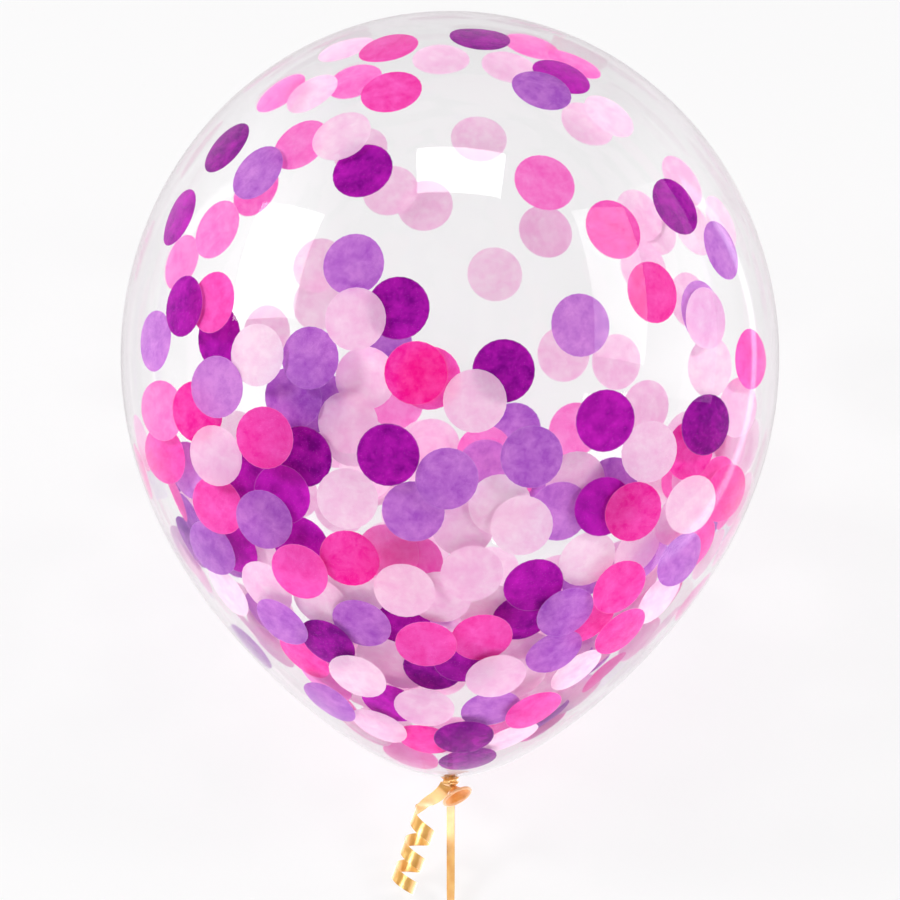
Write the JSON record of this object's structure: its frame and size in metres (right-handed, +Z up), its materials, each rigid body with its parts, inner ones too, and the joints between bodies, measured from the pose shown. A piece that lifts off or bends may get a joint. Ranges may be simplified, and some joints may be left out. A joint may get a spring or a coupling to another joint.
{
  "type": "confetti balloon",
  "caption": "Clear teardrop latex balloon with tissue confetti discs inside, tied at the neck with gold curling ribbon, lying on its side as a party decoration.",
  "frame": {"origin": "middle of the flat spot on the underside that the lying balloon rests on", "axes": "+Z up from the surface it lies on, the crown leans up towards +Y and the tied neck points down towards -Y"},
  "size_m": [0.2794, 0.4037, 0.2838],
  "materials": {
    "clear_latex": "clear, glossy stretched latex, amber where it is thick at the neck and lip",
    "gold_ribbon": "metallic gold curling ribbon, finely ribbed along its length",
    "tissue_pale_pink": "pale pink tissue paper, thin and mottled",
    "tissue_blush": "blush pink tissue paper, thin and mottled",
    "tissue_hot_pink": "hot pink tissue paper, thin and mottled",
    "tissue_purple": "deep purple tissue paper, thin and mottled",
    "tissue_lavender": "lavender tissue paper, thin and mottled"
  },
  "bodies": {
    "root": {"balloon": "clear_latex", "ribbon_wrap": "gold_ribbon", "ribbon_curl": "gold_ribbon", "ribbon_tail": "gold_ribbon", "ribbon_coil": "gold_ribbon", "coil_tie": "gold_ribbon"}
  },
  "joints": []
}
